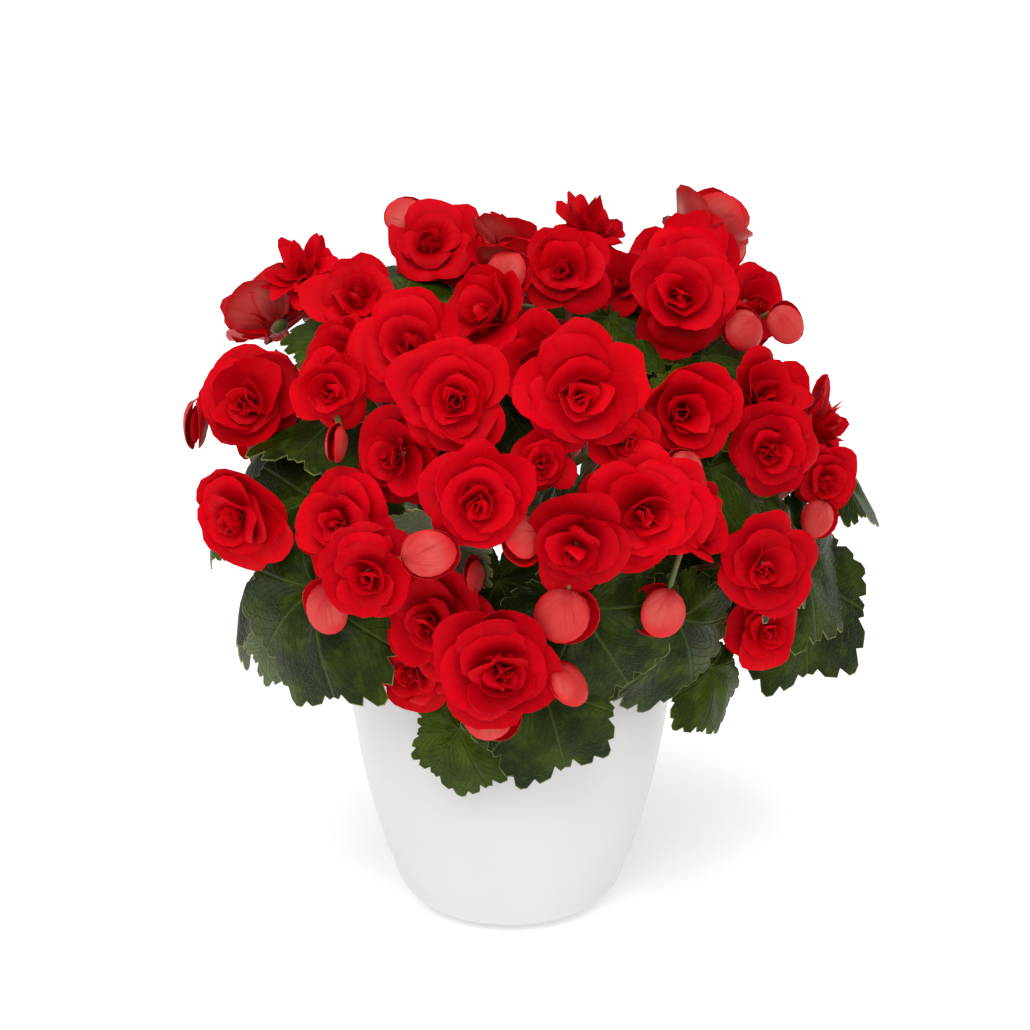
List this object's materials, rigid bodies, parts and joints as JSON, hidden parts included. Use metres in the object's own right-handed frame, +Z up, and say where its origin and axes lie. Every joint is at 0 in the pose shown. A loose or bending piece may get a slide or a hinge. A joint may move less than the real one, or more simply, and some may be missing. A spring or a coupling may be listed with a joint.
{
  "type": "potted begonia",
  "caption": "Potted double-flowered begonia with toothed green leaves and layered red blooms, growing in a plain tapered white pot.",
  "frame": {"origin": "centre of the white pot's foot, on the surface it stands on", "axes": "+Z up; -Y towards the plant's front"},
  "size_m": [0.2893, 0.2585, 0.302],
  "materials": {
    "white_glaze": "satin",
    "black_plastic": "matte",
    "peat": "matte",
    "foliage": "satin",
    "red_petals": "satin"
  },
  "bodies": {
    "root": {"white_pot": "white_glaze", "grower_pot": "black_plastic", "soil": "peat", "leafy_stem_1": "foliage", "leafy_stem_2": "foliage", "leafy_stem_3": "foliage", "leafy_stem_4": "foliage", "leafy_stem_5": "foliage", "leafy_stem_6": "foliage", "flower_01": "red_petals", "flower_02": "red_petals", "flower_03": "red_petals", "flower_04": "red_petals", "flower_05": "red_petals", "flower_06": "red_petals", "flower_07": "red_petals", "flower_08": "red_petals", "flower_09": "red_petals", "flower_10": "red_petals", "flower_11": "red_petals", "flower_12": "red_petals", "flower_13": "red_petals", "flower_14": "red_petals", "flower_15": "red_petals", "flower_16": "red_petals", "flower_17": "red_petals", "flower_18": "red_petals", "flower_19": "red_petals", "flower_20": "red_petals", "flower_21": "red_petals", "flower_22": "red_petals", "flower_23": "red_petals", "flower_24": "red_petals", "flower_25": "red_petals", "flower_26": "red_petals", "flower_27": "red_petals", "flower_28": "red_petals", "flower_29": "red_petals", "flower_30": "red_petals", "flower_31": "red_petals", "flower_32": "red_petals", "flower_33": "red_petals", "flower_34": "red_petals", "flower_35": "red_petals", "flower_36": "red_petals", "flower_37": "red_petals", "flower_38": "red_petals", "flower_39": "red_petals", "flower_40": "red_petals", "flower_41": "red_petals", "flower_42": "red_petals", "flower_43": "red_petals", "flower_44": "red_petals", "flower_45": "red_petals", "flower_46": "red_petals", "flower_47": "red_petals", "flower_48": "red_petals", "flower_49": "red_petals", "flower_50": "red_petals", "flower_51": "red_petals"}
  },
  "joints": []
}
